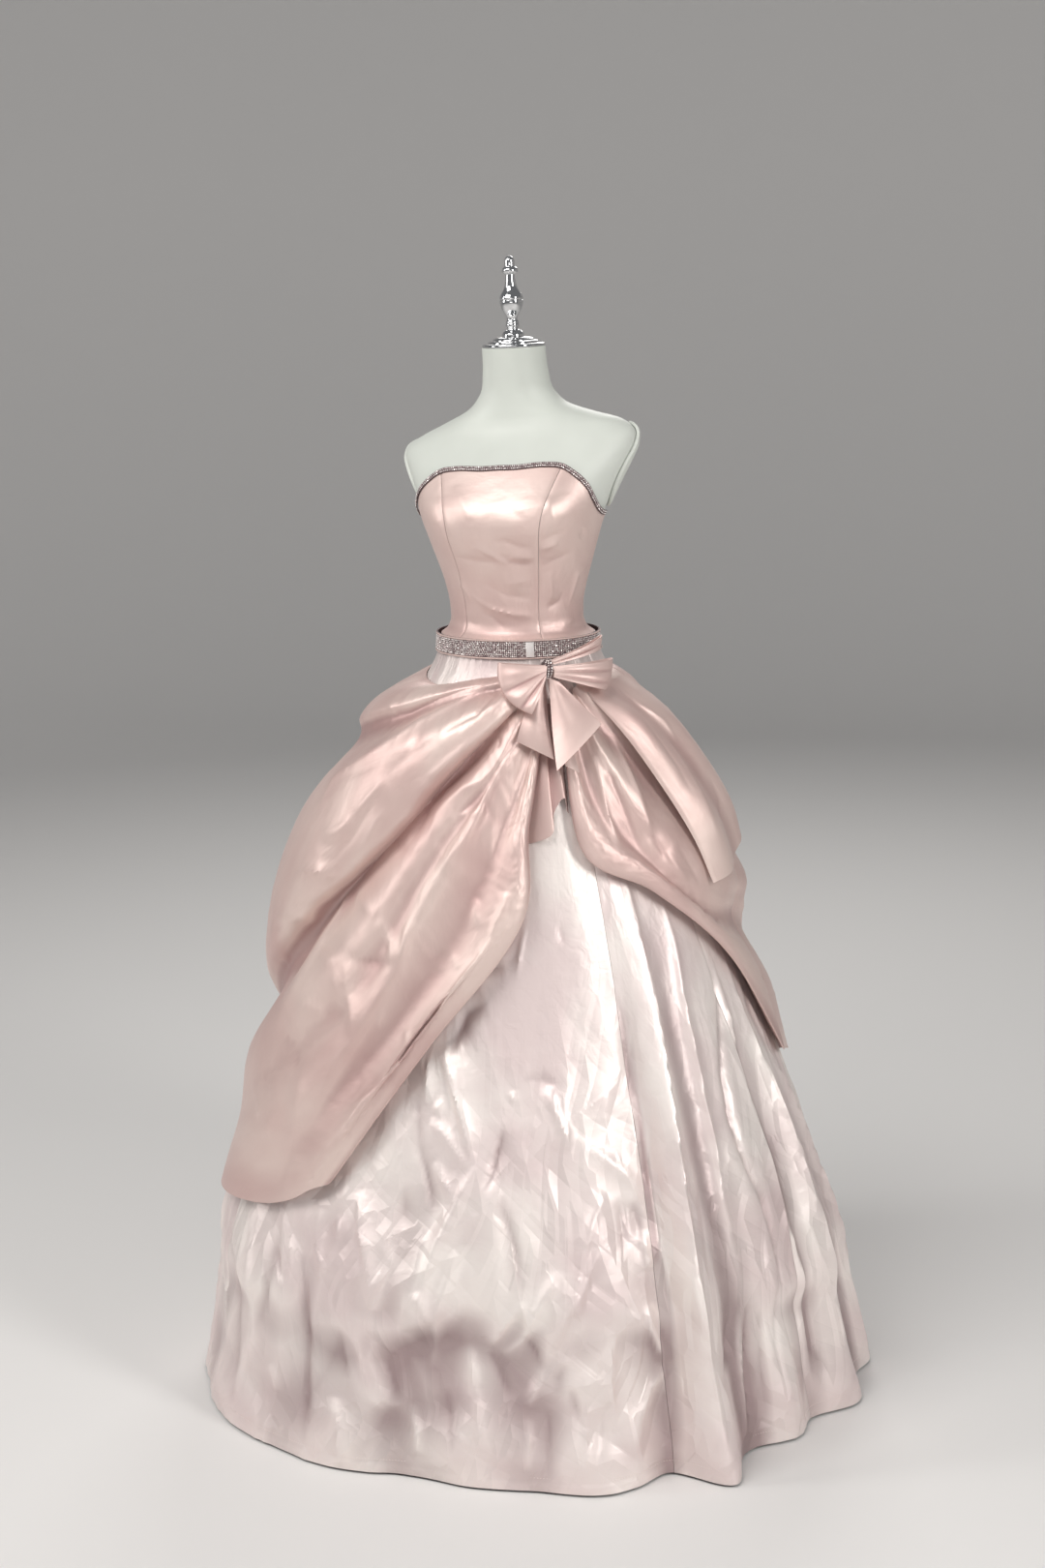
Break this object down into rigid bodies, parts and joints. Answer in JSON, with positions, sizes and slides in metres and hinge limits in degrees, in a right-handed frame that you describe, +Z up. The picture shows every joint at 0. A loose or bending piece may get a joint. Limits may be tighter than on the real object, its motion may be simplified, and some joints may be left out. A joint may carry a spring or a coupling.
{
  "type": "ball gown on a dress form",
  "caption": "Strapless princess-seamed satin ball gown with a draped overskirt, crystal belt and bow, standing on a limbless dress form with a finial.",
  "frame": {"origin": "centre of the underside of the stand's base", "axes": "+Z up along the pole; -Y the gown's front; +X the wearer's left"},
  "size_m": [1.0442, 0.9271, 1.7208],
  "materials": {
    "satin": "blush satin",
    "skirt_satin": "paler blush satin",
    "crystal_trim": "small clear crystals set close on a band",
    "form_white": "smooth matte white",
    "chrome": "polished",
    "stand_steel": "satin steel"
  },
  "bodies": {
    "root": {"form_torso": "form_white", "form_arm_cap_left": "form_white", "form_arm_cap_right": "form_white", "stand_base": "stand_steel", "stand_pole": "stand_steel", "neck_cap": "chrome", "finial": "chrome", "bodice_centre_front": "satin", "bodice_side_front_left": "satin", "bodice_side_front_right": "satin", "bodice_side_back_left": "satin", "bodice_side_back_right": "satin", "bodice_back_left": "satin", "bodice_back_right": "satin", "neckline_trim": "crystal_trim", "belt_band": "crystal_trim", "belt_slide": "chrome", "skirt_front": "skirt_satin", "skirt_side_front_left": "skirt_satin", "skirt_side_back_left": "skirt_satin", "skirt_back_left": "skirt_satin", "skirt_back_right": "skirt_satin", "skirt_side_back_right": "skirt_satin", "skirt_side_front_right": "skirt_satin", "drape_right_front": "satin", "drape_left_lower": "satin", "drape_left_upper": "satin", "drape_back_left": "satin", "drape_back_right": "satin", "jabot": "satin", "bow_loop_right": "satin", "bow_loop_left": "satin", "bow_loop_upper": "satin", "bow_tail_right": "satin", "bow_tail_front": "satin", "bow_tail_left": "satin", "bow_knot": "crystal_trim"}
  },
  "joints": []
}
